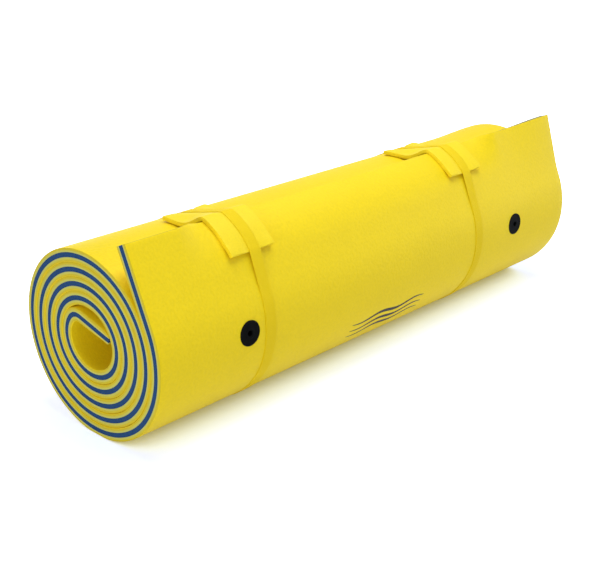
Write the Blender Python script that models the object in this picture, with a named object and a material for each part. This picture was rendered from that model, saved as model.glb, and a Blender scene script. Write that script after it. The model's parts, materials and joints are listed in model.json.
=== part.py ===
"""Rolled three-layer foam float mat, tied by two webbing straps with edge pads.

Metres, +Z up. The roll lies along X. Its near end is at -X, the mat's free edge stands up
on the -Y side, and the roll rests on z = 0 outside its two straps, which draw it in a little.
"""
import math

import bpy
import bmesh
from mathutils import Matrix, Vector

# Fits between pieces
CLEARANCE = 0.0003          # between pieces that touch
CUT_OVERRUN = 0.010         # how far a cutter runs past the face it opens
CREASE_DEG = 35.0           # faces that meet at more than this keep a sharp edge

# Foam mat: a blue core between two yellow skins
ROLL_LENGTH = 1.830         # the mat's width, along the roll's axis
SKIN_THICKNESS = 0.0122
CORE_THICKNESS = 0.0112

# Spiral, measured on the core's middle line at the front side of the outermost turn
TURN_REACH_Y = 0.268        # half width of the outermost turn
TURN_REACH_Z = 0.2575       # half height of the outermost turn
TURN_PITCH = 0.0384         # how much each turn draws in
DRIFT_Y = -0.0006           # each inner turn lies a little further forward
DRIFT_Z = 0.0010            # and a little higher, as the slack hangs below
TURN_COUNT = 4.6            # turns from the front side in to the core's bend
STEPS_PER_TURN = 36
REST_SAG = 0.0021           # depth of the flat that the roll's weight presses
BOTTOM_TURN_SHARE = 0.25    # of a turn, from the front side to the lowest point
REST_SEARCH_SHARE = 0.12    # of a turn, how far from the lowest point the flat's ends are looked for
REST_SEARCH_STEPS = 40
DRAWN_MARGIN = 0.020        # from a band's outer side to where the roll is no longer drawn in
DRAWN_RAMP = 0.060          # over which it then comes down to the floor

# Inner end, folded back across the roll's hollow
FOLD_RADIUS = 0.040
FOLD_STEPS = 6
LEG_LENGTH = 0.1235
LEG_DIP_DEG = 15.0          # how far the leg points below level
TIP_SQUEEZE = 0.0070        # how much the outer skin gives where the leg meets the turn beside it
TIP_LENGTH = 0.030          # over which it does

# Free edge, which leaves the roll as a flap
FLAP_START_DEG = 24.5       # where it leaves the outermost turn, above the front side
FLAP_LENGTH = 0.212
FLAP_BEND_LENGTH = 0.140    # the part next to the edge that the straps bend over
FLAP_BEND_DEG = 46.0        # extra lean at the edge, between the straps
FLAP_BEND_STEPS = 8
FLARE_LENGTH = 0.130        # over which the bend dies away towards each end of the roll
FLARE_STEPS = 6
FLARE_MARGIN = 0.008        # from a pad's outer side to where the flare begins

# Grommets
GROMMET_SPACING = 1.232     # between the two, along the roll
GROMMET_DOWN = 0.304        # from the mat's free edge, along the mat
GROMMET_RADIUS = 0.035
GROMMET_BORE_RADIUS = 0.0080
BARREL_RADIUS = 0.0115
FLANGE_THICKNESS = 0.0040
FLANGE_SEAT = 0.0028        # how deep the front flange presses into the skin
FLANGE_RIM = 0.0012         # rounding of the flange's rim
FLANGE_COLLAR = 0.0160      # radius of the raised collar round the bore
FLANGE_DISH = 0.0008        # depth of the ring between collar and rim
REAR_THICKNESS = 0.0030
GROMMET_SEGMENTS = 32

# Straps
NEAR_STRAP_X = -0.540
FAR_STRAP_X = 0.410
BAND_WIDTH = 0.038
BAND_THICKNESS = 0.0016
PAD_WIDTH = 0.160           # along the roll
PAD_THICKNESS = 0.0120
PAD_PRESS = 0.0030          # how deep the band presses into the pad
PAD_LENGTH = 0.290          # along the strap
NEAR_PAD_FRONT = 0.120      # how much of the near pad lies in front of the mat's free edge
FAR_PAD_FRONT = 0.107
PAD_STRIDE = 0.016          # longest step of the pad's surface along the strap
PAD_ACROSS_SHARES = (-1.0, -0.72, -0.45, -0.26, 0.0, 0.26, 0.45, 0.72, 1.0)
PAD_PRESSED_SHARE = 0.3     # of the pad's half width, beside its middle
CORNER_DEG = 14.0           # an outline that turns more than this is rounded when it grows
CORNER_STEP_DEG = 9.0       # turn of each step of that rounding

# Hook and loop closure at the back of each strap
CLOSURE_HEIGHT = 0.330      # where the band's inner end begins, above the floor
RAMP_LENGTH = 0.045         # over which the outer end climbs onto the inner end
TAB_LENGTH = 0.095
TAB_GAP = 0.0010            # between the band's end and the tab
TAB_ROOT = 0.012            # fixed band past the inner end's tip
PATCH_THICKNESS = 0.0012
PATCH_MARGIN = 0.002        # band that shows on each side of a patch
LOOP_LENGTH = 0.110
LOOP_START = 0.006          # from the inner end's tip
HOOK_START = 0.004          # from the tab's root
HOOK_TAIL = 0.012           # bare end of the tab, to grip

# Sizes that follow
MAT_HALF = CORE_THICKNESS / 2 + CLEARANCE + SKIN_THICKNESS
BAND_ROOM = CLEARANCE + BAND_THICKNESS + CLEARANCE
PATCH_STEP = PATCH_THICKNESS + CLEARANCE
STACK_OFFSET = CLEARANCE + BAND_THICKNESS + CLEARANCE + 2 * PATCH_STEP
CENTRE_Y = (TURN_PITCH / 2 - STACK_OFFSET + CLEARANCE) / 2
CENTRE_Z = MAT_HALF - REST_SAG + TURN_REACH_Z - TURN_PITCH / 4 - DRIFT_Z / 4

YELLOW_FOAM = ("yellow_foam", (0.90, 0.68, 0.03), 0.62)
BLUE_FOAM = ("blue_foam", (0.02, 0.07, 0.24), 0.70)
BLACK_PLASTIC = ("black_plastic", (0.015, 0.016, 0.018), 0.40)
YELLOW_WEBBING = ("yellow_webbing", (0.86, 0.62, 0.01), 0.75)
YELLOW_PAD = ("yellow_pad", (0.92, 0.72, 0.06), 0.65)
HOOK_TAPE = ("hook_tape", (0.80, 0.60, 0.05), 0.85)
LOOP_TAPE = ("loop_tape", (0.82, 0.62, 0.06), 0.95)


# Helpers
def clear_scene():
    for item in list(bpy.data.objects):
        bpy.data.objects.remove(item, do_unlink=True)


def material(look):
    name, colour, roughness = look
    found = bpy.data.materials.get(name)
    if found:
        return found
    made = bpy.data.materials.new(name)
    made.use_nodes = True
    shader = made.node_tree.nodes["Principled BSDF"]
    shader.inputs["Base Color"].default_value = (*colour, 1.0)
    shader.inputs["Roughness"].default_value = roughness
    shader.inputs["Metallic"].default_value = 0.0
    made.diffuse_color = (*colour, 1.0)
    return made


def add_object(name, mesh_data, look):
    mesh = bpy.data.meshes.new(name)
    mesh_data.to_mesh(mesh)
    mesh_data.free()
    mesh.shade_smooth()
    mesh.set_sharp_from_angle(angle=math.radians(CREASE_DEG))
    if look:
        mesh.materials.append(material(look))
    item = bpy.data.objects.new(name, mesh)
    bpy.context.collection.objects.link(item)
    return item


def as_cutter(item):
    item.hide_render = True
    item.display_type = "WIRE"
    return item


def cut(target, cutter):
    step = target.modifiers.new("cut_" + cutter.name, "BOOLEAN")
    step.operation = "DIFFERENCE"
    step.solver = "EXACT"
    step.object = cutter


def smooth_step(share):
    share = min(1.0, max(0.0, share))
    return share * share * (3.0 - 2.0 * share)


def left_of(direction):
    return Vector((-direction.y, direction.x))


# Section of the mat, as points (y, z) on the core's middle line
def turn_point(turns):
    """A point of the spiral; turns counts inward from the front side of the outermost turn."""
    angle = 2 * math.pi * turns
    reach_y = TURN_REACH_Y - TURN_PITCH * turns
    reach_z = TURN_REACH_Z - TURN_PITCH * turns
    return Vector((CENTRE_Y + DRIFT_Y * turns - reach_y * math.cos(angle),
                   CENTRE_Z + DRIFT_Z * turns - reach_z * math.sin(angle)))


def turn_direction(turns):
    """The way that the mat runs there, from its inner end to its free edge."""
    step = 1.0 / (4 * STEPS_PER_TURN)
    return (turn_point(turns - step) - turn_point(turns + step)).normalized()


def rest_turns():
    """Where the outer face meets the pressed flat, before and after the bottom."""
    found = []
    for side in (-1, 1):
        low, high = BOTTOM_TURN_SHARE, BOTTOM_TURN_SHARE + side * REST_SEARCH_SHARE
        for _ in range(REST_SEARCH_STEPS):
            middle = (low + high) / 2
            face = turn_point(middle) - left_of(-turn_direction(middle)) * MAT_HALF
            if face.y < 0:
                low = middle
            else:
                high = middle
        found.append((low + high) / 2)
    return found


def flap_lean(distance, bend):
    """Lean back from upright at a distance along the flap; bend is 1 between the straps, 0 when free."""
    straight = FLAP_LENGTH - FLAP_BEND_LENGTH
    extra = max(0.0, distance - straight) / FLAP_BEND_LENGTH
    start = math.atan2(*turn_direction(-FLAP_START_DEG / 360.0))
    return start + math.radians(FLAP_BEND_DEG) * bend * extra


def inner_rows():
    """Rows (point, direction) from the folded inner end's tip to the spiral."""
    start = turn_point(TURN_COUNT)
    heading = -turn_direction(TURN_COUNT)
    first = math.atan2(heading.y, heading.x)
    last = math.pi + math.radians(LEG_DIP_DEG)
    rows = []
    at = start.copy()
    for step in range(1, FOLD_STEPS + 1):
        a = first + (last - first) * (step - 1) / FOLD_STEPS
        b = first + (last - first) * step / FOLD_STEPS
        at = at + FOLD_RADIUS * Vector((math.sin(b) - math.sin(a), math.cos(a) - math.cos(b)))
        rows.append((at.copy(), -Vector((math.cos(b), math.sin(b)))))
    leg = Vector((math.cos(last), math.sin(last)))
    for distance in (LEG_LENGTH - TIP_LENGTH, LEG_LENGTH):
        rows.append((at + leg * distance, -leg))
    rows.reverse()
    return rows


def spiral_rows():
    """Rows from the fold out to where the flap leaves the roll."""
    turns = [step / STEPS_PER_TURN for step in range(-2, int(TURN_COUNT * STEPS_PER_TURN) + 1)]
    leave = -FLAP_START_DEG / 360.0
    apart = 0.3 / STEPS_PER_TURN
    kept = [t for t in turns if t > leave + apart and t < TURN_COUNT - apart]
    kept = [t for t in kept if all(abs(t - edge) > apart for edge in rest_turns())]
    kept += rest_turns() + [leave, TURN_COUNT]
    return [(turn_point(t), turn_direction(t)) for t in sorted(kept, reverse=True)]


def flap_rows(bend):
    """Rows of the bending part of the flap, from its straight foot to the mat's free edge."""
    at = turn_point(-FLAP_START_DEG / 360.0)
    lean = flap_lean(0.0, bend)
    straight = FLAP_LENGTH - FLAP_BEND_LENGTH
    at = at + Vector((math.sin(lean), math.cos(lean))) * straight
    rows = [(at.copy(), Vector((math.sin(lean), math.cos(lean))))]
    stride = FLAP_BEND_LENGTH / FLAP_BEND_STEPS
    for step in range(1, FLAP_BEND_STEPS + 1):
        middle = flap_lean(straight + (step - 0.5) * stride, bend)
        at = at + Vector((math.sin(middle), math.cos(middle))) * stride
        end = flap_lean(straight + step * stride, bend)
        rows.append((at.copy(), Vector((math.sin(end), math.cos(end)))))
    return rows


def face_points(rows, offset, squeeze=0.0):
    """The rows pushed out by offset, less at the tip, and never below the floor."""
    points = [at + left_of(way) * offset for at, way in rows]
    points[0] -= left_of(rows[0][1]) * squeeze
    return [Vector((p.x, max(p.y, 0.0))) for p in points]


# Stations along the roll
def strap_sides():
    near = NEAR_STRAP_X - PAD_WIDTH / 2 - FLARE_MARGIN
    far = FAR_STRAP_X + PAD_WIDTH / 2 + FLARE_MARGIN
    return near, far


def flap_stations():
    """Places along X with the share of the flap's bend at each."""
    near, far = strap_sides()
    half = ROLL_LENGTH / 2
    before = [(near - FLARE_LENGTH * (1 - step / FLARE_STEPS), smooth_step(step / FLARE_STEPS))
              for step in range(FLARE_STEPS + 1)]
    after = [(far + FLARE_LENGTH * step / FLARE_STEPS, 1 - smooth_step(step / FLARE_STEPS))
             for step in range(FLARE_STEPS + 1)]
    inside = [place for place in before + after if abs(place[0]) < half - CUT_OVERRUN]
    return [(-half, 0.0)] + inside + [(half, 0.0)]


# Foam sheets
def foam_sheet(name, inner_offset, outer_offset, look):
    """One layer of the mat: the wound part runs straight from end to end, the flap is lofted."""
    wound = inner_rows() + spiral_rows()
    stations = flap_stations()
    last = len(stations) - 1
    middle = last // 2
    ends = (stations[0][0], stations[last][0])
    mesh_data = bmesh.new()

    def lay(offset):
        rows = []
        squeeze = TIP_SQUEEZE if offset == MAT_HALF else 0.0
        for point in face_points(wound, offset, squeeze):
            rows.append({0: mesh_data.verts.new((ends[0], *point)),
                         last: mesh_data.verts.new((ends[1], *point))})
        flaps = [face_points(flap_rows(bend), offset) for _, bend in stations]
        for row in range(len(flaps[0])):
            rows.append({k: mesh_data.verts.new((stations[k][0], *flaps[k][row]))
                         for k in range(last + 1)})
        return rows

    inner, outer = lay(inner_offset), lay(outer_offset)
    joint = len(wound)
    for rows in (inner, outer):
        for i in range(joint - 1):
            mesh_data.faces.new((rows[i][0], rows[i][last], rows[i + 1][last], rows[i + 1][0]))
        foot, head = rows[joint - 1], rows[joint]
        for k in range(last):
            corner = foot[0] if k < middle else foot[last]
            mesh_data.faces.new((corner, head[k + 1], head[k]))
        mesh_data.faces.new((foot[0], foot[last], head[middle]))
        for i in range(joint, len(rows) - 1):
            for k in range(last):
                mesh_data.faces.new((rows[i][k], rows[i][k + 1], rows[i + 1][k + 1], rows[i + 1][k]))
    for i in range(len(inner) - 1):
        for k in (0, last):
            mesh_data.faces.new((inner[i][k], inner[i + 1][k], outer[i + 1][k], outer[i][k]))
    mesh_data.faces.new((inner[0][0], inner[0][last], outer[0][last], outer[0][0]))
    for k in range(last):
        mesh_data.faces.new((inner[-1][k], inner[-1][k + 1], outer[-1][k + 1], outer[-1][k]))
    bmesh.ops.recalc_face_normals(mesh_data, faces=mesh_data.faces)
    return add_object(name, mesh_data, look)


def band_room():
    """Cutter for the underside between the straps, where the drawn-in roll clears the floor."""
    first = NEAR_STRAP_X - BAND_WIDTH / 2 - DRAWN_MARGIN
    last = FAR_STRAP_X + BAND_WIDTH / 2 + DRAWN_MARGIN
    profile = ((first - 2 * DRAWN_RAMP, -BAND_ROOM), (last + 2 * DRAWN_RAMP, -BAND_ROOM),
               (last, BAND_ROOM), (first, BAND_ROOM))
    mesh_data = bmesh.new()
    rings = [[mesh_data.verts.new((x, side * TURN_REACH_Y, z)) for x, z in profile] for side in (-1, 1)]
    for ring in rings:
        mesh_data.faces.new(ring)
    for k in range(len(profile)):
        mesh_data.faces.new((rings[0][k - 1], rings[0][k], rings[1][k], rings[1][k - 1]))
    bmesh.ops.recalc_face_normals(mesh_data, faces=mesh_data.faces)
    return as_cutter(add_object("band_room", mesh_data, None))


# Grommets
def grommet_frame(x):
    """Matrix at the mat's outer face whose Z axis points out of the mat."""
    distance = GROMMET_DOWN - FLAP_LENGTH
    leave = -FLAP_START_DEG / 360.0
    turns = leave
    while distance > 0:
        stride = 0.1 / STEPS_PER_TURN
        distance -= (turn_point(turns + stride) - turn_point(turns)).length
        turns += stride
    out = left_of(turn_direction(turns))
    at = turn_point(turns) + out * MAT_HALF
    z_axis = Vector((0.0, out.x, out.y))
    x_axis = Vector((1.0, 0.0, 0.0))
    y_axis = z_axis.cross(x_axis)
    frame = Matrix((x_axis, y_axis, z_axis)).transposed().to_4x4()
    frame.translation = Vector((x, at.x, at.y))
    return frame


def turned(name, profile, look, frame):
    """A closed ring turned from (radius, height) points about its own Z axis."""
    mesh_data = bmesh.new()
    corners = [mesh_data.verts.new((radius, 0.0, height)) for radius, height in profile]
    edges = [mesh_data.edges.new((a, b)) for a, b in zip(corners, corners[1:] + corners[:1])]
    bmesh.ops.spin(mesh_data, geom=corners + edges, cent=(0, 0, 0), axis=(0, 0, 1),
                   angle=2 * math.pi, steps=GROMMET_SEGMENTS)
    bmesh.ops.remove_doubles(mesh_data, verts=mesh_data.verts, dist=CLEARANCE / 10)
    bmesh.ops.recalc_face_normals(mesh_data, faces=mesh_data.faces)
    item = add_object(name, mesh_data, look)
    item.matrix_world = frame
    return item


def disc(name, radius, low, high, frame):
    mesh_data = bmesh.new()
    bmesh.ops.create_cone(mesh_data, cap_ends=True, segments=GROMMET_SEGMENTS,
                          radius1=radius, radius2=radius, depth=high - low)
    bmesh.ops.translate(mesh_data, verts=mesh_data.verts, vec=(0, 0, (low + high) / 2))
    item = add_object(name, mesh_data, None)
    item.matrix_world = frame
    return as_cutter(item)


def grommet(name, x, outer_skin, core, inner_skin):
    frame = grommet_frame(x)
    top = FLANGE_THICKNESS - FLANGE_SEAT
    rear_face = -2 * MAT_HALF
    rear_top = rear_face + REAR_THICKNESS
    front_profile = [
        (GROMMET_BORE_RADIUS, rear_face), (BARREL_RADIUS, rear_face), (BARREL_RADIUS, -FLANGE_SEAT),
        (GROMMET_RADIUS - FLANGE_RIM / 2, -FLANGE_SEAT), (GROMMET_RADIUS, -FLANGE_SEAT + FLANGE_RIM / 2),
        (GROMMET_RADIUS, top - FLANGE_RIM), (GROMMET_RADIUS - FLANGE_RIM / 2, top - FLANGE_RIM / 4),
        (GROMMET_RADIUS - FLANGE_RIM, top), (GROMMET_RADIUS - 3 * FLANGE_RIM, top),
        (GROMMET_RADIUS - 4 * FLANGE_RIM, top - FLANGE_DISH), (FLANGE_COLLAR, top - FLANGE_DISH),
        (FLANGE_COLLAR - FLANGE_RIM, top), (GROMMET_BORE_RADIUS + FLANGE_RIM, top),
        (GROMMET_BORE_RADIUS, top - FLANGE_RIM)]
    turned(name + "_front", front_profile, BLACK_PLASTIC, frame)
    ring_bore = BARREL_RADIUS + CLEARANCE
    rear_profile = [
        (ring_bore, rear_face), (GROMMET_RADIUS - FLANGE_RIM, rear_face),
        (GROMMET_RADIUS, rear_face + FLANGE_RIM), (GROMMET_RADIUS, rear_top), (ring_bore, rear_top)]
    turned(name + "_rear", rear_profile, BLACK_PLASTIC, frame)
    seat_radius = GROMMET_RADIUS + CLEARANCE
    front_seat = disc(name + "_front_seat", seat_radius, -FLANGE_SEAT - CLEARANCE, CUT_OVERRUN, frame)
    barrel_hole = disc(name + "_barrel_hole", ring_bore, rear_face + REAR_THICKNESS / 2, CUT_OVERRUN, frame)
    rear_seat = disc(name + "_rear_seat", seat_radius, rear_face - CUT_OVERRUN, rear_top + CLEARANCE, frame)
    cut(outer_skin, front_seat)
    for sheet in (outer_skin, core, inner_skin):
        cut(sheet, barrel_hole)
    cut(inner_skin, rear_seat)


# Straps, laid over the convex outline of roll and flap
def convex(points):
    """Convex outline of the points, counterclockwise."""
    ordered = sorted({(p.x, p.y) for p in points})

    def chain(sequence):
        kept = []
        for p in sequence:
            while len(kept) > 1:
                a, b = kept[-2], kept[-1]
                if (b[0] - a[0]) * (p[1] - a[1]) - (b[1] - a[1]) * (p[0] - a[0]) > 0:
                    break
                kept.pop()
            kept.append(p)
        return kept[:-1]

    return [Vector(p) for p in chain(ordered) + chain(ordered[::-1])]


def above(outline, height):
    """The part of a convex outline that lies above a height."""
    points = []
    for before, at in zip(outline[-1:] + outline[:-1], outline):
        if (before.y < height) != (at.y < height):
            points.append(before.lerp(at, (height - before.y) / (at.y - before.y)))
        if at.y >= height:
            points.append(at)
    return points


def grown(outline, offset):
    """A convex outline pushed out by offset, with its sharp corners rounded."""
    points = []
    count = len(outline)
    for i in range(count):
        before = (outline[i] - outline[i - 1]).normalized()
        after = (outline[(i + 1) % count] - outline[i]).normalized()
        turn = before.angle(after)
        sharp = turn > math.radians(CORNER_DEG)
        fans = max(1, round(turn / math.radians(CORNER_STEP_DEG))) if sharp else 0
        if offset < BAND_THICKNESS or fans == 0:
            middle = (before + after).normalized()
            points.append(outline[i] - left_of(middle) * offset / math.cos(turn / 2))
            continue
        start = math.atan2(before.y, before.x)
        for step in range(fans + 1):
            angle = start + turn * step / fans
            points.append(outline[i] - left_of(Vector((math.cos(angle), math.sin(angle)))) * offset)
    return points


def mat_outline():
    strapped = spiral_rows() + flap_rows(1.0)
    points = face_points(strapped, MAT_HALF)
    edge_at, edge_way = strapped[-1]
    points.append(edge_at - left_of(edge_way) * MAT_HALF)
    return above(convex(points), BAND_ROOM)


def free_edge():
    """The outer corner of the mat's free edge, between the straps."""
    edge_at, edge_way = flap_rows(1.0)[-1]
    return edge_at + left_of(edge_way) * MAT_HALF


class Path:
    """A closed outline measured by distance, run so that the back goes down and the front up."""

    def __init__(self, outline, start):
        ring = outline[::-1]
        nearest = min(range(len(ring)), key=lambda i: (ring[i] - start).length)
        self.points = ring[nearest:] + ring[:nearest + 1]
        self.marks = [0.0]
        for a, b in zip(self.points, self.points[1:]):
            self.marks.append(self.marks[-1] + (b - a).length)
        self.length = self.marks[-1]

    def at(self, distance):
        distance = distance % self.length
        for i in range(len(self.points) - 1):
            if distance <= self.marks[i + 1]:
                share = (distance - self.marks[i]) / (self.marks[i + 1] - self.marks[i])
                return self.points[i].lerp(self.points[i + 1], share)
        return self.points[-1].copy()

    def out(self, distance):
        """Outward normal, averaged over a short stretch."""
        reach = BAND_WIDTH / 8
        way = (self.at(distance + reach) - self.at(distance - reach)).normalized()
        return left_of(way)

    def nearest(self, place):
        """Distance along the path of the corner nearest to a place."""
        i = min(range(len(self.points) - 1), key=lambda k: (self.points[k] - place).length)
        return self.marks[i]

    def stops(self, first, last):
        """Corner distances between two distances, over as many rounds as that takes."""
        rounds = range(int(first // self.length), int(last // self.length) + 1)
        marks = [r * self.length + m for r in rounds for m in self.marks[:-1]]
        slack = BAND_THICKNESS
        return [first] + [m for m in marks if first + slack < m < last - slack] + [last]


def ribbon(name, inner_line, outer_line, width, look, origin=None):
    """A flat strip across the roll between two lines of points (y, z)."""
    mesh_data = bmesh.new()
    sides = []
    for side in (-width / 2, width / 2):
        sides.append([[mesh_data.verts.new((side, *p)) for p in line] for line in (inner_line, outer_line)])
    left, right = sides
    for i in range(len(inner_line) - 1):
        for a, b in ((left[0], right[0]), (left[1], right[1]), (left[0], left[1]), (right[0], right[1])):
            mesh_data.faces.new((a[i], a[i + 1], b[i + 1], b[i]))
    for i in (0, -1):
        mesh_data.faces.new((left[0][i], right[0][i], right[1][i], left[1][i]))
    bmesh.ops.recalc_face_normals(mesh_data, faces=mesh_data.faces)
    home = Vector((0.0, *origin)) if origin else Vector((0.0, 0.0, 0.0))
    bmesh.ops.translate(mesh_data, verts=mesh_data.verts, vec=-home)
    item = add_object(name, mesh_data, look)
    item.location = home
    return item


def beside_band(share):
    """0 under the band, 1 at the pad's sides."""
    return max(0.0, (abs(share) - PAD_PRESSED_SHARE) / (1 - PAD_PRESSED_SHARE))


def pad_thickness(share):
    """Pressed thin under the band, full beside it."""
    return PAD_THICKNESS - PAD_PRESS * (1 - smooth_step(2 * beside_band(share)))


def strap_pad(name, front, outline):
    """A foam sheet folded over the mat's free edge, pressed thin along its middle."""
    path = Path(grown(outline, CLEARANCE), Vector((TURN_REACH_Y, CLOSURE_HEIGHT)))
    edge = path.nearest(free_edge())
    first, last = edge - front, edge - front + PAD_LENGTH
    corners = path.stops(first, last)
    places = [first]
    for a, b in zip(corners, corners[1:]):
        parts = math.ceil((b - a) / PAD_STRIDE)
        places += [a + (b - a) * step / parts for step in range(1, parts + 1)]
    mesh_data = bmesh.new()
    under, over = [], []
    for place in places:
        at, out = path.at(place), path.out(place)
        for rows, full in ((under, 0.0), (over, 1.0)):
            row = []
            for share in PAD_ACROSS_SHARES:
                point = at + out * full * pad_thickness(share)
                row.append(mesh_data.verts.new((share * PAD_WIDTH / 2, point.x, point.y)))
            rows.append(row)
    across = len(PAD_ACROSS_SHARES)
    for i in range(len(places) - 1):
        for k in range(across - 1):
            for rows in (under, over):
                mesh_data.faces.new((rows[i][k], rows[i][k + 1], rows[i + 1][k + 1], rows[i + 1][k]))
        for k in (0, across - 1):
            mesh_data.faces.new((under[i][k], under[i + 1][k], over[i + 1][k], over[i][k]))
    for i in (0, -1):
        for k in range(across - 1):
            mesh_data.faces.new((under[i][k], under[i][k + 1], over[i][k + 1], over[i][k]))
    bmesh.ops.recalc_face_normals(mesh_data, faces=mesh_data.faces)
    item = add_object(name, mesh_data, YELLOW_PAD)
    crest = [path.at(place) + path.out(place) * pad_thickness(0.0) for place in places]
    return item, crest


def strap(name, x, pad_front, outline):
    """Pad, band, tab and closure patches of one strap, hung on a carrier at the strap's place."""
    carrier = bpy.data.objects.new(name + "_carrier", None)
    bpy.context.collection.objects.link(carrier)
    carrier.location = (x, 0.0, 0.0)
    pad, crest = strap_pad(name + "_pad", pad_front, outline)

    around = convex(grown(outline, CLEARANCE) + grown(convex(crest), CLEARANCE))
    path = Path(around, Vector((TURN_REACH_Y, CLOSURE_HEIGHT)))

    def line(first, last, height):
        return [path.at(d) + path.out(d) * height(d) for d in path.stops(first, last)]

    def climbing(d):
        return STACK_OFFSET * smooth_step((d - path.length + RAMP_LENGTH) / RAMP_LENGTH)

    end = path.length + TAB_ROOT
    band = ribbon(name + "_band", line(0.0, end, climbing),
                  line(0.0, end, lambda d: climbing(d) + BAND_THICKNESS), BAND_WIDTH, YELLOW_WEBBING)

    def flat_piece(piece, first, length, low, thickness, width, look, origin):
        last = first + length
        return ribbon(piece, line(first, last, lambda d: low), line(first, last, lambda d: low + thickness),
                      width, look, origin)

    patch_width = BAND_WIDTH - 2 * PATCH_MARGIN
    loop = flat_piece(name + "_loop_patch", LOOP_START, LOOP_LENGTH, BAND_THICKNESS + CLEARANCE,
                      PATCH_THICKNESS, patch_width, LOOP_TAPE, None)
    root = end + TAB_GAP
    hinge = path.at(root) + path.out(root) * (STACK_OFFSET + BAND_THICKNESS)
    tab = flat_piece(name + "_tab", root, TAB_LENGTH, STACK_OFFSET, BAND_THICKNESS, BAND_WIDTH,
                     YELLOW_WEBBING, hinge)
    hook = flat_piece(name + "_hook_patch", root + HOOK_START, TAB_LENGTH - HOOK_START - HOOK_TAIL,
                      STACK_OFFSET - PATCH_STEP, PATCH_THICKNESS, patch_width, HOOK_TAPE, hinge)
    for piece in (pad, band, loop, tab, hook):
        piece.parent = carrier
    print(name, "band runs", round(path.length + TAB_ROOT, 4), "m; tab hinge at x, y, z",
          round(x, 4), round(hinge.x, 5), round(hinge.y, 5))


# Assembly
def build():
    clear_scene()
    skin_from = CORE_THICKNESS / 2 + CLEARANCE
    outer_skin = foam_sheet("outer_skin", skin_from, MAT_HALF, YELLOW_FOAM)
    core = foam_sheet("foam_core", -CORE_THICKNESS / 2, CORE_THICKNESS / 2, BLUE_FOAM)
    inner_skin = foam_sheet("inner_skin", -MAT_HALF, -skin_from, YELLOW_FOAM)
    cut(outer_skin, band_room())
    for name, side in (("near_grommet", -1), ("far_grommet", 1)):
        grommet(name, side * GROMMET_SPACING / 2, outer_skin, core, inner_skin)
    outline = mat_outline()
    strap("near_strap", NEAR_STRAP_X, NEAR_PAD_FRONT, outline)
    strap("far_strap", FAR_STRAP_X, FAR_PAD_FRONT, outline)
    rows = inner_rows() + spiral_rows() + flap_rows(0.0)
    length = sum((b[0] - a[0]).length for a, b in zip(rows, rows[1:]))
    print("mat length along its middle", round(length, 4), "m, thickness", round(2 * MAT_HALF, 5), "m")
    for x in (-GROMMET_SPACING / 2, GROMMET_SPACING / 2):
        print("grommet at", [round(v, 5) for v in grommet_frame(x).translation])
    bpy.context.view_layer.update()


build()
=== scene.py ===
# %% [markdown]
# A foam float mat for swimming pools, rolled up and tied with two webbing straps.
# The solid model of the mat is loaded first and stays as it is: it says where every part sits and how it
# moves. This script then makes the soft parts that are seen, one by one: three layers of foam wound
# into a roll, two foam pads and two webbing straps with their closures. The black grommets are hard and
# simple, so their solids stay and get a better material.

# %% Load the frame
import json
import math

import bpy
import numpy as np
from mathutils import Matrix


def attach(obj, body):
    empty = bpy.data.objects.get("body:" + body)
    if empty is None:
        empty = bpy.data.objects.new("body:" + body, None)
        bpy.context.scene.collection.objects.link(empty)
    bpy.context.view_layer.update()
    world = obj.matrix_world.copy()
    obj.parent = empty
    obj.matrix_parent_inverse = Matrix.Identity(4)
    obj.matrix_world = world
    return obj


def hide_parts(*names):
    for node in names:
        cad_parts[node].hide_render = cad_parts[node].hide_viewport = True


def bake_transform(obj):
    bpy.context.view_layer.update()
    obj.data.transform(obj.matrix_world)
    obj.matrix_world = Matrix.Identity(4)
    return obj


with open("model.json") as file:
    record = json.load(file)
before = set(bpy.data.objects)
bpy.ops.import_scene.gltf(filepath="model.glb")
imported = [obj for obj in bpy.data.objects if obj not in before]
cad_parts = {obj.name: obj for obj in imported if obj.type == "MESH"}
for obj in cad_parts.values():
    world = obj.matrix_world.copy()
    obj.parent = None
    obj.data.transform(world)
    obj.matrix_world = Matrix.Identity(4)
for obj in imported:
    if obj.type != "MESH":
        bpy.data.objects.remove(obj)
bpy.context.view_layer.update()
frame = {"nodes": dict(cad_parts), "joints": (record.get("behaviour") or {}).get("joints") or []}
bpy.ops.object.select_all(action="DESELECT")

# %% [markdown]
# The sizes below are the real ones, in metres. Most were read from the photograph by fitting a camera
# to the spiral at the near end of the roll, with the 38 mm webbing as the scale.

# %% Sizes of the mat
ROLL_LENGTH = 1.830             # the mat's width, along the roll's axis
SKIN = 0.0114                   # thickness of a yellow layer
CORE = 0.0130                   # thickness of the blue layer
SEAM = 0.0002                   # between the two
HALF = CORE / 2 + SEAM + SKIN   # from the mat's middle to either face

TURN_REACH_Y = 0.268            # half width of the outermost turn
TURN_REACH_Z = 0.2575           # half height of it
TURN_PITCH = 0.0384             # how much each turn draws in
DRIFT_Y = -0.0006               # each inner turn lies a little further forward
DRIFT_Z = 0.0010                # and a little higher, as the slack hangs below
TURN_COUNT = 4.6                # turns from the front side in to the fold
CENTRE_Y = 0.00715              # middle of the spiral
REST_SAG = 0.0021               # depth of the flat that the roll's weight presses
CENTRE_Z = HALF - REST_SAG + TURN_REACH_Z - TURN_PITCH / 4 - DRIFT_Z / 4

FOLD_RADIUS = 0.040             # the mat's inner end folds back round this
LEG_LENGTH = 0.1235             # and then lies straight in the hollow
LEG_DIP = math.radians(15.0)    # how far it points below level
TIP_SQUEEZE = 0.0070            # how much the outer skin gives at the tip
TIP_LENGTH = 0.030              # over which it does

LEAVE = -24.5 / 360.0           # in turns, where the flap leaves the roll
FLAP_LENGTH = 0.212
FLAP_BEND_LENGTH = 0.140        # the part next to the edge that the straps bend over
FLAP_BEND = math.radians(46.0)  # extra lean at the edge, between the straps

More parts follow.
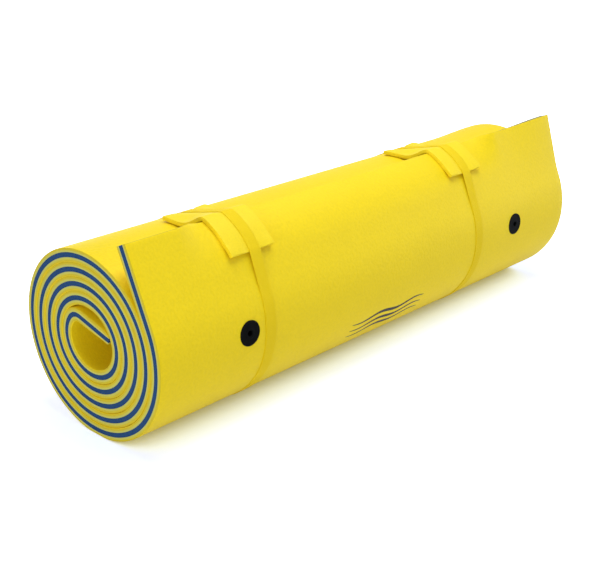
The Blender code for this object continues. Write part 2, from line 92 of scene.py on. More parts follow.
NEAR_STRAP_X = -0.540
FAR_STRAP_X = 0.410
BAND_WIDTH = 0.038
BAND_THICKNESS = 0.0016
PAD_WIDTH = 0.160               # how much of the flap a pad holds down
FLARE_LENGTH = 0.130            # over which the bend dies away towards each end of the roll
FLARE_MARGIN = 0.008            # from a pad's outer side to where that begins
BAND_ROOM = 0.0022              # between the roll and the floor, for the webbing
DRAWN_MARGIN = 0.020            # from a band's outer side to where the roll comes down again
DRAWN_RAMP = 0.060              # over which it does
FIRST_DRAWN = NEAR_STRAP_X - BAND_WIDTH / 2 - DRAWN_MARGIN
LAST_DRAWN = FAR_STRAP_X + BAND_WIDTH / 2 + DRAWN_MARGIN
print("the mat is", round(2 * HALF, 4), "m thick, and its turns lie", TURN_PITCH, "m apart")

# %% [markdown]
# The section of the roll is a spiral. Its reach shrinks by one mat thickness with every turn, a little
# slack makes it oval, and the outermost turn leaves the roll in a straight flap. A mat rolls from its
# inner end outwards, so every place on it is given by one distance from that inner end.

# %% The section of the roll
SPIRAL_POINTS = 4000
FOLD_POINTS = 60
LINE_STEP = 0.002


def turn_point(turns):
    """Middle of the mat, as (y, z); turns counts inwards from the front side of the outermost turn."""
    angle = 2 * np.pi * turns
    y = CENTRE_Y + DRIFT_Y * turns - (TURN_REACH_Y - TURN_PITCH * turns) * np.cos(angle)
    z = CENTRE_Z + DRIFT_Z * turns - (TURN_REACH_Z - TURN_PITCH * turns) * np.sin(angle)
    return np.stack([y, z], axis=-1)


def directions(points):
    """Unit vectors along a row of points."""
    way = np.gradient(points, axis=0)
    return way / np.linalg.norm(way, axis=1, keepdims=True)


def left_of(way):
    return np.stack([-way[..., 1], way[..., 0]], axis=-1)


def wound_line():
    """The folded leg and the spiral as close points, from the inner end to where the flap leaves."""
    turns = np.linspace(TURN_COUNT, LEAVE, SPIRAL_POINTS)
    spiral = turn_point(turns)
    heading = -directions(spiral)[0]
    first = math.atan2(heading[1], heading[0])
    last = math.pi + LEG_DIP
    sweep = np.linspace(first, last, FOLD_POINTS)
    across, down = np.sin(sweep) - math.sin(first), math.cos(first) - np.cos(sweep)
    fold = spiral[0] + FOLD_RADIUS * np.stack([across, down], axis=-1)
    leg_way = np.array([math.cos(last), math.sin(last)])
    leg = fold[-1] + np.linspace(0, LEG_LENGTH, FOLD_POINTS)[1:, None] * leg_way
    line = np.concatenate([leg[::-1], fold[::-1], spiral[1:]])
    marks = np.concatenate([[0], np.cumsum(np.linalg.norm(np.diff(line, axis=0), axis=1))])
    places = np.linspace(0, marks[-1], int(marks[-1] / LINE_STEP))
    even = np.stack([np.interp(places, marks, line[:, k]) for k in (0, 1)], axis=-1)
    return places, even


wound_places, wound_points = wound_line()
wound_ways = directions(wound_points)
WOUND_LENGTH = wound_places[-1]
MAT_LENGTH = WOUND_LENGTH + FLAP_LENGTH
print("the mat is", round(MAT_LENGTH, 3), "m long and", ROLL_LENGTH, "m wide when it is unrolled")

# %% [markdown]
# Between the straps the flap is pulled back against the roll, and at the two ends it springs free. One
# share says how much of the bend is left at each place along the roll. At the far end, where no strap is
# near, the flap stands up a little more.

# %% How the flap bends
FLAP_POINTS = 160
FAR_SPRING = math.radians(7.0)
FAR_SPRING_LENGTH = 0.060       # of the flap, over which it turns up
FAR_SPRING_START = 0.640        # along the roll


def smooth_step(share):
    """Zero below 0, one above 1, and an even curve between them."""
    share = np.clip(share, 0.0, 1.0)
    return share * share * (3.0 - 2.0 * share)


def bend_share(x):
    """One between the straps, dying away to zero towards both ends of the roll."""
    near = NEAR_STRAP_X - PAD_WIDTH / 2 - FLARE_MARGIN
    far = FAR_STRAP_X + PAD_WIDTH / 2 + FLARE_MARGIN
    rising = smooth_step((x - near + FLARE_LENGTH) / FLARE_LENGTH)
    falling = smooth_step((far + FLARE_LENGTH - x) / FLARE_LENGTH)
    return rising * falling


def far_spring(x):
    """How far the flap stands up at the far end, past the last strap and grommet."""
    return FAR_SPRING * smooth_step((x - FAR_SPRING_START) / (ROLL_LENGTH / 2 - FAR_SPRING_START))


def flap_line(bend, spring):
    """Points and directions along the flap for one share of the bend and one angle of springing up."""
    distance = np.linspace(0, FLAP_LENGTH, FLAP_POINTS)
    start = math.atan2(*wound_ways[-1])
    extra = np.clip(distance - FLAP_LENGTH + FLAP_BEND_LENGTH, 0, None) / FLAP_BEND_LENGTH
    lean = start + FLAP_BEND * bend * extra - spring * smooth_step(distance / FAR_SPRING_LENGTH)
    way = np.stack([np.sin(lean), np.cos(lean)], axis=-1)
    steps = (way[1:] + way[:-1]) / 2 * (distance[1] - distance[0])
    points = wound_points[-1] + np.concatenate([np.zeros((1, 2)), np.cumsum(steps, axis=0)])
    return distance + WOUND_LENGTH, points, way


def on_mat(x, place):
    """Middle points and outward normals of the mat, for one x and many distances from the inner end."""
    flap_places, flap_points, flap_ways = flap_line(float(bend_share(x)), float(far_spring(x)))
    places = np.concatenate([wound_places, flap_places[1:]])
    points = np.concatenate([wound_points, flap_points[1:]])
    ways = np.concatenate([wound_ways, flap_ways[1:]])
    at = np.stack([np.interp(place, places, points[:, k]) for k in (0, 1)], axis=-1)
    way = np.stack([np.interp(place, places, ways[:, k]) for k in (0, 1)], axis=-1)
    way /= np.linalg.norm(way, axis=1, keepdims=True)
    return at, left_of(way)


for place_name, x in (("between the straps", 0.0), ("at the far end", ROLL_LENGTH / 2)):
    edge_at = on_mat(x, np.array([MAT_LENGTH]))[0][0]
    print("the mat's edge", place_name, "is at y, z", np.round(edge_at, 3))

# %% [markdown]
# Each foam layer is modelled the way it is made: as a flat sheet that is then rolled up. A grid is the
# flat sheet, Solidify gives it two faces and a rim, and every corner is then carried to its place in
# the roll. The columns of the grid lie closer together where the flap bends.

# %% Rolling up a flat sheet
SMOOTH_ANGLE = math.radians(35.0)
CREASE_ANGLE = math.radians(60.0)
FIRST_WALL = 0.01
ROW_COUNT = 440                 # along the unrolled mat
COLUMN_RANGES = (               # from, to and number of columns
    (-ROLL_LENGTH / 2, -0.775, 5), (-0.775, -0.600, 16), (-0.600, -0.460, 8), (-0.460, 0.330, 14),
    (0.330, 0.490, 8), (0.490, 0.650, 16), (0.650, ROLL_LENGTH / 2, 8))


def columns():
    """Places of the grid's columns along the roll."""
    parts = [np.linspace(a, b, n, endpoint=False) for a, b, n in COLUMN_RANGES]
    return np.concatenate(parts + [[COLUMN_RANGES[-1][1]]])


def add_grid(name, across, along):
    bpy.ops.object.select_all(action="DESELECT")
    bpy.ops.mesh.primitive_grid_add(x_subdivisions=across, y_subdivisions=along, size=1.0)
    piece = bpy.context.active_object
    piece.name = name
    piece.data.name = name
    return piece


def read_points(piece):
    flat = np.empty(len(piece.data.vertices) * 3)
    piece.data.vertices.foreach_get("co", flat)
    return flat.reshape(-1, 3)


def write_points(piece, points):
    piece.data.vertices.foreach_set("co", np.ascontiguousarray(points, dtype=float).ravel())
    piece.data.update()


def set_uv(piece, u, v, name="UVMap"):
    """A UV map with one pair for each corner of the mesh."""
    layer = piece.data.uv_layers.get(name) or piece.data.uv_layers.new(name=name)
    corner = np.empty(len(piece.data.loops), dtype=int)
    piece.data.loops.foreach_get("vertex_index", corner)
    layer.data.foreach_set("uv", np.stack([u[corner], v[corner]], axis=-1).ravel())


def pick(piece):
    bpy.ops.object.select_all(action="DESELECT")
    piece.select_set(True)
    bpy.context.view_layer.objects.active = piece


def apply_modifiers(piece):
    pick(piece)
    for modifier in list(piece.modifiers):
        bpy.ops.object.modifier_apply(modifier=modifier.name)


def smooth(piece):
    pick(piece)
    bpy.ops.object.shade_smooth_by_angle(angle=SMOOTH_ANGLE)


def face_outwards(piece):
    bpy.ops.object.mode_set(mode="EDIT")
    bpy.ops.mesh.select_all(action="SELECT")
    bpy.ops.mesh.normals_make_consistent(inside=False)
    bpy.ops.object.mode_set(mode="OBJECT")


def sheet_of(name, across, along, rim_slots=0):
    """A flat grid with two faces and a rim, whose corners are all moved later.

    Comes with the column and row of each corner, and whether it is on the upper face.
    """
    piece = add_grid(name, across, along)
    flat = read_points(piece)
    count = len(flat)
    column = np.rint((flat[:, 0] + 0.5) * across).astype(int)
    row = np.rint((flat[:, 1] + 0.5) * along).astype(int)
    for _ in range(2):
        piece.data.materials.append(None)
    wall = piece.modifiers.new("wall", "SOLIDIFY")
    wall.thickness = FIRST_WALL
    wall.offset = 0.0
    wall.material_offset_rim = rim_slots
    apply_modifiers(piece)
    height = read_points(piece)[:, 2]
    assert len(height) == 2 * count
    return piece, np.tile(column, 2), np.tile(row, 2), height > 0


def round_edges(piece, width, segments, method="ANGLE"):
    edge = piece.modifiers.new("round_edges", "BEVEL")
    edge.width = width
    edge.segments = segments
    edge.limit_method = method
    edge.angle_limit = CREASE_ANGLE
    edge.harden_normals = False
    apply_modifiers(piece)


print("a layer's grid has", len(columns()) - 1, "by", ROW_COUNT, "faces")

# %% [markdown]
# The two skins are yellow, the core is blue. All three run through the same code with another distance
# from the mat's middle. Where the mat's inner end pushes against the next turn, the skin gives.

# %% The three foam layers
LAST_TURN = 1.72                # length of the turn that has no other one outside it
TURN_SWELL = 0.0009             # how far a skin presses out towards the next turn
SWELL_FADE = 0.12               # over which a swelling begins and ends
LEG_THINNING = 0.0050           # how much the inner skin gives on the folded end
CORE_SWELL = 0.0010             # how much thicker the core is on the flap, to either side
CORNER_WIDTH = 0.0026           # rounding of a cut edge
GLUED_SHARE = 0.15              # of that rounding, where a layer is glued to the next
FAR_SWELL = 0.016               # share by which the section is larger at the far end
FAR_SWELL_START = 0.670         # along the roll


def far_swell(x):
    """The far end is rolled a little looser than the rest."""
    return 1.0 + FAR_SWELL * smooth_step((x - FAR_SWELL_START) / (ROLL_LENGTH / 2 - FAR_SWELL_START))


def rest_height(x):
    """The underside stands on the floor outside the straps, and clears the webbing between them."""
    beyond = max(FIRST_DRAWN - x, x - LAST_DRAWN, 0.0)
    return BAND_ROOM * float(smooth_step(1.0 - beyond / DRAWN_RAMP))


def settled(places, offset):
    """How far a face moves from its offset, because wound foam presses out until the turns touch."""
    last_turn = WOUND_LENGTH - LAST_TURN
    if offset >= HALF:
        return TURN_SWELL * smooth_step((last_turn - places) / SWELL_FADE)
    if offset <= -HALF:
        swell = TURN_SWELL * smooth_step((WOUND_LENGTH - places) / SWELL_FADE)
        swell = swell * smooth_step(places / LEG_LENGTH - 1)
        return LEG_THINNING * (1 - smooth_step(places / LEG_LENGTH)) - swell
    return math.copysign(CORE_SWELL, offset) * smooth_step((places - WOUND_LENGTH) / SWELL_FADE + 1)


def border_weights(piece, column, row, upper, free_side):
    """Bevel weights: full on the corners that stay free, small where a layer is glued to the next."""
    border = (column == 0) | (column == column.max()) | (row == 0) | (row == ROW_COUNT)
    ends = np.empty(len(piece.data.edges) * 2, dtype=int)
    piece.data.edges.foreach_get("vertices", ends)
    a, b = ends.reshape(-1, 2).T
    along = border[a] & border[b] & (upper[a] == upper[b])
    at_side = np.isin(column[a], (0, column.max())) & (column[a] == column[b])
    at_end = np.isin(row[a], (0, ROW_COUNT)) & (row[a] == row[b])
    rim = along & (at_side | at_end)
    free = rim & (upper[a] == free_side) if free_side is not None else np.zeros_like(rim)
    weights = np.where(free, 1.0, np.where(rim, GLUED_SHARE, 0.0))
    layer = piece.data.attributes.new("bevel_weight_edge", "FLOAT", "EDGE")
    layer.data.foreach_set("value", weights.astype(np.float32))


def foam_layer(name, low, high, free_side):
    """One layer between two distances from the mat's middle; free_side is the face with no glue on it."""
    stations = columns()
    piece, column, row, upper = sheet_of(name, len(stations) - 1, ROW_COUNT, rim_slots=1)
    places = np.linspace(0, MAT_LENGTH, ROW_COUNT + 1)
    tip = np.clip(1 - places / TIP_LENGTH, 0, 1)
    points = np.empty((len(column), 3))
    for k, x in enumerate(stations):
        at, out = on_mat(x, places)
        for side, offset in ((True, high), (False, low)):
            squeeze = TIP_SQUEEZE * tip if offset >= HALF else 0 * tip
            face = at + out * (offset - squeeze + settled(places, offset))[:, None]
            face[:, 1] = np.maximum(face[:, 1], rest_height(x))
            mine = (column == k) & (upper == side)
            points[mine, 0] = x
            points[mine, 1:] = face[row[mine]] * far_swell(x)
    write_points(piece, points)
    set_uv(piece, points[:, 0], places[row])
    set_uv(piece, (upper == free_side).astype(float), places[row], name="depth")
    border_weights(piece, column, row, upper, free_side)
    round_edges(piece, CORNER_WIDTH, segments=3, method="WEIGHT")
    smooth(piece)
    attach(piece, "mat")
    print(name, len(piece.data.polygons), "faces")
    return piece


outer_skin = foam_layer("outer_skin_foam", CORE / 2 + SEAM, HALF, free_side=True)
core = foam_layer("core_foam", -CORE / 2, CORE / 2, free_side=None)
inner_skin = foam_layer("inner_skin_foam", -HALF, -CORE / 2 - SEAM, free_side=False)
for piece, node in ((outer_skin, "outer_skin"), (core, "foam_core"), (inner_skin, "inner_skin")):
    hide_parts(node)

# %% [markdown]
# The grommets' barrels go through the mat near its free edge. Two round cutters punch the holes through
# all three layers, the way a hollow punch would, and are then thrown away.

# %% Punch the grommet holes
GROMMET_X = 0.616               # to either side of the roll's middle
GROMMET_AT = (-0.2788, 0.28011) # y and z, in the middle of the mat
GROMMET_TILT = math.radians(2.3)
HOLE_RADIUS = 0.0117
HOLE_SIDES = 48
PUNCH_LENGTH = 0.064


def punch(x):
    bpy.ops.object.select_all(action="DESELECT")
    turned = (math.pi / 2 - GROMMET_TILT, 0.0, 0.0)
    bpy.ops.mesh.primitive_cylinder_add(vertices=HOLE_SIDES, radius=HOLE_RADIUS, depth=PUNCH_LENGTH,
                                        location=(x, *GROMMET_AT), rotation=turned)
    return bpy.context.active_object


punches = [punch(-GROMMET_X), punch(GROMMET_X)]
for layer in (outer_skin, core, inner_skin):
    for tool in punches:
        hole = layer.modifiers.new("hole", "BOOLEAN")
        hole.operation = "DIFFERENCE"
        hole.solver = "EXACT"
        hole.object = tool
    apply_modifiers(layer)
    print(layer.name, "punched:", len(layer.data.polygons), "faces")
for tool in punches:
    bpy.data.objects.remove(tool, do_unlink=True)

# %% [markdown]
# Every material is made of nodes. A few helpers add the nodes that all of them use: a shader of one
# colour, noise, a blend between two colours, and bump. The patterns read Object coordinates, which are
# metres here.

# %% Material helpers
SHINE = 0.25                    # specular level of foam, webbing and tape
NOISE_RANGE = 0.3, 0.7          # most of a noise's values lie between these


def new_material(name, colour, roughness, shine=SHINE):
    made = bpy.data.materials.new(name)
    made.use_nodes = True
    shader = made.node_tree.nodes["Principled BSDF"]
    shader.inputs["Base Color"].default_value = (*colour, 1.0)
    shader.inputs["Roughness"].default_value = roughness
    shader.inputs["Specular IOR Level"].default_value = shine
    made.diffuse_color = (*colour, 1.0)
    return made, made.node_tree.nodes, made.node_tree.links, shader


def noise(nodes, links, vector, scale, detail):
    made = nodes.new("ShaderNodeTexNoise")
    made.inputs["Scale"].default_value = scale
    made.inputs["Detail"].default_value = detail
    links.new(vector, made.inputs["Vector"])
    return made.outputs["Fac"]


def between(nodes, links, share, low, high, a, b):
    """A colour that goes from a to b as the share goes from low to high."""
    ramp = nodes.new("ShaderNodeValToRGB")
    ramp.color_ramp.elements[0].position = low
    ramp.color_ramp.elements[1].position = high
    ramp.color_ramp.elements[0].color = (*a, 1.0)
    ramp.color_ramp.elements[1].color = (*b, 1.0)
    links.new(share, ramp.inputs["Fac"])
    return ramp.outputs["Color"]


def bump(nodes, links, height, distance, strength, normal=None):
    made = nodes.new("ShaderNodeBump")
    made.inputs["Distance"].default_value = distance
    made.inputs["Strength"].default_value = strength
    links.new(height, made.inputs["Height"])
    if normal:
        links.new(normal, made.inputs["Normal"])
    return made.outputs["Normal"]


def tint(colour, share):
    return tuple(c * share for c in colour)


def blend_to(nodes, links, share, a, colour):
    """The colour socket a, giving way to one colour as the share rises."""
    made = nodes.new("ShaderNodeMix")
    made.data_type = "RGBA"
    links.new(share, made.inputs["Factor"])
    links.new(a, made.inputs["A"])
    made.inputs["B"].default_value = (*colour, 1.0)
    return made.outputs["Result"]


# %% [markdown]
# Closed-cell foam has a matte moulded skin with a faint pebble in it. Its colour wavers a little over a
# hand's width, and it is finer grained where a blade has cut it and its cells lie open. Noise at three
# sizes gives that, through colour and bump. A cut edge of a yellow layer is painted paler and greener
# next to the blue layer it is glued to, as painted reflection of the light thrown off the blue: the UV
# map "depth" says how near the glue is. The pads are cut from a smoother sheet of the same yellow.

# %% Foam, moulded and cut
YELLOW = (0.94, 0.715, 0.006)
CUT_YELLOW = (0.70, 0.55, 0.028)
# painted reflection: the cut yellow next to the blue layer, greened by light thrown off the blue
BLUE_BOUNCE_YELLOW = (0.60, 0.60, 0.15)
PAD_YELLOW = (0.95, 0.74, 0.016)
BLUE = (0.010, 0.058, 0.20)
CUT_BLUE = (0.012, 0.065, 0.21)
WHITE = (1.0, 1.0, 1.0)
BLACK = (0.0, 0.0, 0.0)

YELLOW_ROUGHNESS = 0.58
BLUE_ROUGHNESS = 0.60
PAD_ROUGHNESS = 0.60
CUT_ROUGHNESS = 0.85
MOULDED_GRAIN = 700.0, 0.0004   # scale and depth of the finest noise
CUT_GRAIN = 1500.0, 0.0005
PAD_GRAIN = 900.0, 0.0003
CUT_BLUE_SHADE = 0.70
CLOUD_SCALE = 5.0
CLOUD_SHARE = 0.25              # of the clouds in the mottle, beside the speckle
MOTTLE_RANGE = (0.48, 0.78)
MOTTLE_SHADE = 0.945            # of the colour, where the mottle is darkest
BOUNCE_RANGE = (0.15, 0.60)
PEBBLE_SIZE = 5                 # times the size of the finest grain
BUMP_STRENGTH = 0.5


def foam_material(name, colour, roughness, grain, shade=MOTTLE_SHADE, bounce_colour=None):
    """Foam with pebble and grain; a cut yellow can be paler and greener next to the blue layer, painted
    reflection of its light.
    """
    made, nodes, links, shader = new_material(name, colour, roughness)
    cell, depth = grain
    place = nodes.new("ShaderNodeTexCoord").outputs["Object"]
    cloudy = noise(nodes, links, place, CLOUD_SCALE, 2.0)
    speckle = noise(nodes, links, place, cell / PEBBLE_SIZE, 3.0)
    mottle = nodes.new("ShaderNodeMath")
    mottle.operation = "MULTIPLY_ADD"
    mottle.inputs[1].default_value = CLOUD_SHARE
    links.new(cloudy, mottle.inputs[0])
    links.new(speckle, mottle.inputs[2])
    colours = between(nodes, links, mottle.outputs[0], *MOTTLE_RANGE, tint(colour, shade), colour)
    # painted reflection of the blue layer, strongest on the glued side of a cut edge
    if bounce_colour:
        layer = nodes.new("ShaderNodeUVMap")
        layer.uv_map = "depth"
        split = nodes.new("ShaderNodeSeparateXYZ")
        links.new(layer.outputs["UV"], split.inputs[0])
        glued = between(nodes, links, split.outputs["X"], *BOUNCE_RANGE, WHITE, BLACK)
        colours = blend_to(nodes, links, glued, colours, bounce_colour)
    links.new(colours, shader.inputs["Base Color"])
    fine = noise(nodes, links, place, cell, 4.0)
    pebble = noise(nodes, links, place, cell / PEBBLE_SIZE, 2.0)
    soft = bump(nodes, links, pebble, depth * PEBBLE_SIZE, BUMP_STRENGTH)
    links.new(bump(nodes, links, fine, depth, BUMP_STRENGTH, soft), shader.inputs["Normal"])
    return made


moulded_yellow = foam_material("moulded_yellow_foam", YELLOW, YELLOW_ROUGHNESS, MOULDED_GRAIN)
printed_yellow = foam_material("printed_yellow_foam", YELLOW, YELLOW_ROUGHNESS, MOULDED_GRAIN)
cut_yellow = foam_material("cut_yellow_foam", CUT_YELLOW, CUT_ROUGHNESS, CUT_GRAIN,
                           bounce_colour=BLUE_BOUNCE_YELLOW)
moulded_blue = foam_material("moulded_blue_foam", BLUE, BLUE_ROUGHNESS, MOULDED_GRAIN)
cut_blue = foam_material("cut_blue_foam", CUT_BLUE, CUT_ROUGHNESS, CUT_GRAIN, shade=CUT_BLUE_SHADE)
pad_yellow = foam_material("pad_yellow_foam", PAD_YELLOW, PAD_ROUGHNESS, PAD_GRAIN)
for foam in (moulded_yellow, printed_yellow, cut_yellow, moulded_blue, cut_blue, pad_yellow):
    print(foam.name, "has", len(foam.node_tree.nodes), "nodes")

# %% [markdown]
# The outer skin has an ornament printed on it in black, low on the front: three wave lines that taper
# at both ends. Ink has no thickness to model, so they are part of the colour. They follow the UV map,
# which is in metres on the unrolled sheet.

# %% The printed ornament
INK = (0.010, 0.010, 0.011)
WAVES_MIDDLE = -0.01            # along the roll
WAVES_LENGTH = 0.34
WAVES_FROM_EDGE = 0.489         # from the first line to the mat's free edge
WAVE_COUNT = 3.0
WAVE_PITCH = 0.0247             # from one line to the next
WAVE_WEIGHT = 0.0125            # width of a line at its middle
WAVE_SWING = 0.006              # to either side
WAVE_LENGTH = 0.17


def print_waves(material):
    """Adds the ornament to a foam material, over the colour that it has."""
    nodes, links = material.node_tree.nodes, material.node_tree.links
    base = nodes["Principled BSDF"].inputs["Base Color"]
    foam = base.links[0].from_socket
    split = nodes.new("ShaderNodeSeparateXYZ")
    links.new(nodes.new("ShaderNodeTexCoord").outputs["UV"], split.inputs[0])

    def math_node(operation, a, b=None):
        made = nodes.new("ShaderNodeMath")
        made.operation = operation
        for socket, value in zip(made.inputs, (a, b)):
            if isinstance(value, float):
                socket.default_value = value
            elif value is not None:
                links.new(value, socket)
        return made.outputs[0]

    u = math_node("SUBTRACT", split.outputs["X"], WAVES_MIDDLE)
    swing = math_node("SINE", math_node("MULTIPLY", u, 2 * math.pi / WAVE_LENGTH))
    v = math_node("SUBTRACT", split.outputs["Y"], MAT_LENGTH - WAVES_FROM_EDGE)
    v = math_node("ADD", v, math_node("MULTIPLY", swing, WAVE_SWING))
    line = math_node("DIVIDE", v, WAVE_PITCH)
    off_line = math_node("ABSOLUTE", math_node("SUBTRACT", math_node("FRACT", line), 0.5))
    reach = math_node("DIVIDE", math_node("ABSOLUTE", u), WAVES_LENGTH / 2)
    taper = math_node("SQRT", math_node("MAXIMUM", math_node("SUBTRACT", 1.0, reach), 0.0))
    inked = math_node("LESS_THAN", off_line, math_node("MULTIPLY", taper, WAVE_WEIGHT / WAVE_PITCH / 2))
    above_first = math_node("GREATER_THAN", line, 0.0)
    below_last = math_node("LESS_THAN", line, WAVE_COUNT)
    mask = math_node("MULTIPLY", inked, math_node("MULTIPLY", above_first, below_last))
    links.new(blend_to(nodes, links, mask, foam, INK), base)


def dress(piece, faces, rim=None):
    """The material of the two faces and that of the rim, which is the same one if none is given."""
    piece.data.materials[0] = faces
    piece.data.materials[1] = rim or faces


print_waves(printed_yellow)
dress(outer_skin, printed_yellow, cut_yellow)
dress(inner_skin, moulded_yellow, cut_yellow)
dress(core, moulded_blue, cut_blue)
print("the ornament starts", round(MAT_LENGTH - WAVES_FROM_EDGE, 3), "m from the mat's inner end")

# %% [markdown]
# The grommets are moulded in black plastic. Their solids already have the right form, so they stay and
# only get a better material: a dull black with the very fine grain of a spark-eroded mould.

# %% Grommets
PLASTIC = (0.004, 0.0045, 0.005)
PLASTIC_ROUGHNESS = 0.45
PLASTIC_SHINE = 0.015
SPARK_SCALE, SPARK_DEPTH, SPARK_STRENGTH = 1400.0, 0.0002, 0.4
STREAK_SCALE = 60.0
DARK_STREAK, LIGHT_STREAK = 0.8, 1.25


def moulded_plastic(name, colour):
    made, nodes, links, shader = new_material(name, colour, PLASTIC_ROUGHNESS, PLASTIC_SHINE)
    place = nodes.new("ShaderNodeTexCoord").outputs["Object"]
    grain = noise(nodes, links, place, SPARK_SCALE, 3.0)
    streaks = noise(nodes, links, place, STREAK_SCALE, 2.0)
    dark, light = tint(colour, DARK_STREAK), tint(colour, LIGHT_STREAK)
    links.new(between(nodes, links, streaks, *NOISE_RANGE, dark, light), shader.inputs["Base Color"])
    links.new(bump(nodes, links, grain, SPARK_DEPTH, SPARK_STRENGTH), shader.inputs["Normal"])
    return made


black_plastic = moulded_plastic("black_moulded_plastic", PLASTIC)
for side in ("near", "far"):
    for half in ("front", "rear"):
        node = frame["nodes"][side + "_grommet_" + half]
        node.data.materials.clear()
        node.data.materials.append(black_plastic)
        print(node.name, "is now", black_plastic.name)

# %% [markdown]
# A strap lies on the convex outline of everything it goes round, because webbing under tension never
# dips into a hollow. That outline is found once for the mat, for the pads, and again with a pad on it for
# the webbing.

# %% The path of a strap
CLOSURE_HEIGHT = 0.330          # where a strap's inner end begins, above the floor
REST_GAP = 0.0004               # between a pad and the foam under it
WAY_REACH = 0.007               # to both sides, for the direction at a place
SEARCH_COUNT = 8000             # places tried, to find the nearest one
OUTER_STRETCH = 2.1             # of the mat, enough for its outermost turn and flap
OUTER_POINTS = 900


def hull(points):
    """Convex outline, counterclockwise."""
    ordered = points[np.lexsort((points[:, 1], points[:, 0]))]

    def chain(sequence):
        kept = []
        for p in sequence:
            while len(kept) > 1:
                a, b = kept[-2], kept[-1]
                if (b[0] - a[0]) * (p[1] - a[1]) - (b[1] - a[1]) * (p[0] - a[0]) > 0:
                    break
                kept.pop()
            kept.append(p)
        return kept[:-1]

    return np.array(chain(ordered) + chain(ordered[::-1]))


def above(outline, height):
    """The outline with everything below one height cut off, where the floor is."""
    points = []
    for before, at in zip(np.roll(outline, 1, axis=0), outline):
        if (before[1] < height) != (at[1] < height):
            points.append(before + (at - before) * (height - before[1]) / (at[1] - before[1]))
        if at[1] >= height:
            points.append(at)
    return np.array(points)


class Path:
    """A closed outline measured by distance: down the back, under, up the front and over."""

    def __init__(self, outline, gap):
        """The outline counterclockwise, and how far the path lies off it."""
        ring = outline[::-1]
        start = np.argmin(np.linalg.norm(ring - (TURN_REACH_Y, CLOSURE_HEIGHT), axis=1))
        ring = np.concatenate([ring[start:], ring[:start + 1]])
        marks = np.concatenate([[0], np.cumsum(np.linalg.norm(np.diff(ring, axis=0), axis=1))])
        self.length = marks[-1]
        self.marks = marks
        self.ring = ring
        self.gap = gap
        self.shift = 0.0

    def raw(self, distance):
        """Places on the outline itself."""
        distance = np.mod(distance + self.shift, self.length)
        return np.stack([np.interp(distance, self.marks, self.ring[:, k]) for k in (0, 1)], axis=-1)

    def out(self, distance):
        """Directions away from what the path goes round."""
        way = self.raw(distance + WAY_REACH) - self.raw(distance - WAY_REACH)
        return left_of(way / np.linalg.norm(way, axis=-1, keepdims=True))

    def at(self, distance, height=0.0):
        """Places at a height over the path."""
        distance = np.asarray(distance, dtype=float)
        lift = np.broadcast_to(height, distance.shape)[..., None]
        return self.raw(distance) + self.out(distance) * (lift + self.gap)

    def nearest(self, place, height=0.0):
        """The distance along the path at which it comes closest to a place."""
        fine = np.linspace(0, self.length, SEARCH_COUNT)
        return fine[np.argmin(np.linalg.norm(self.at(fine, height) - place, axis=1))]


outer_places = np.linspace(MAT_LENGTH - OUTER_STRETCH, MAT_LENGTH, OUTER_POINTS)
strapped_at, strapped_out = on_mat(0.0, outer_places)
strapped_face = strapped_at + strapped_out * HALF
edge_corner = strapped_face[-1]
inner_corner = strapped_at[-1] - strapped_out[-1] * HALF
mat_outline = above(hull(np.concatenate([strapped_face, inner_corner[None]])), BAND_ROOM)
pad_path = Path(mat_outline, REST_GAP)
print("round the mat under a strap:", round(pad_path.length, 3), "m")

# %% [markdown]
# The pads are pieces of foam sheet that keep the webbing from cutting into the mat's free edge. The
# webbing presses each one thin along its middle, and its sides stay full. Behind the mat's edge the
# webbing holds only the middle up, so both sides droop towards the roll, and the rear corners curl up a
# little. Foam this thick bends so evenly that formulas give its form, and no cloth simulation is needed.

# %% Pads
PAD_LENGTH = 0.290              # along the strap
PAD_THICKNESS = 0.0120
PAD_CORNER = 0.0016             # rounding of its edges
PAD_PRESS = 0.0030              # how deep the webbing presses into it
PAD_ROWS, PAD_COLUMNS = 84, 40
NEAR_PAD_SIDES = 0.085, 0.067   # from the band's middle to the pad's near and far side
FAR_PAD_SIDES = 0.084, 0.073
NEAR_PAD_FRONT = 0.128          # how much of the pad lies in front of the mat's edge
FAR_PAD_FRONT = 0.112
PRESSED_SHARE = 0.26            # of the pad's half width, which the webbing holds down
SWELL_RATE = 2.6                # how soon it is full again beside that
DROOP_SHARE = 0.80              # of the way down to the roll
DROOP_LENGTH = 0.105            # over which the sides come down, behind the mat's edge
CURL_START = 0.70               # of the part behind the edge, from which the corners curl
REAR_CURL = 0.004               # how far the rear corners turn up
FRONT_CURL = 0.005
FRONT_CURL_LENGTH = 0.040
ROLL_TOP_START = 1.50           # the roll's top, measured back from where the flap begins
ROLL_TOP_END = 1.00
WAY_ROWS = 2                    # rows to both sides, for the direction at one

on_top = (outer_places > WOUND_LENGTH - ROLL_TOP_START) & (outer_places < WOUND_LENGTH - ROLL_TOP_END)
roll_top = strapped_face[on_top]
roll_top = roll_top[np.argsort(roll_top[:, 0])]


def drooped(section, beside, rise):
    """Lowers the sides of a pad behind the mat's edge, most of the way down to the roll."""
    room = section[:, 1] - np.interp(section[:, 0], roll_top[:, 0], roll_top[:, 1]) - REST_GAP
    behind = np.clip((section[:, 0] - edge_corner[0]) / DROOP_LENGTH, 0, 1)
    drop = DROOP_SHARE * np.clip(room, 0, None) * smooth_step(behind) * smooth_step(beside)
    curl = REAR_CURL * smooth_step((rise - CURL_START) / (1 - CURL_START)) * smooth_step(beside)
    return section + np.column_stack([0 * drop, curl - drop])


def smoothed_ways(line):
    """Directions along a row of points, each taken over a few of them."""
    padded = np.pad(line, ((WAY_ROWS, WAY_ROWS), (0, 0)), mode="edge")
    way = padded[2 * WAY_ROWS:] - padded[:-2 * WAY_ROWS]
    return way / np.linalg.norm(way, axis=1, keepdims=True)


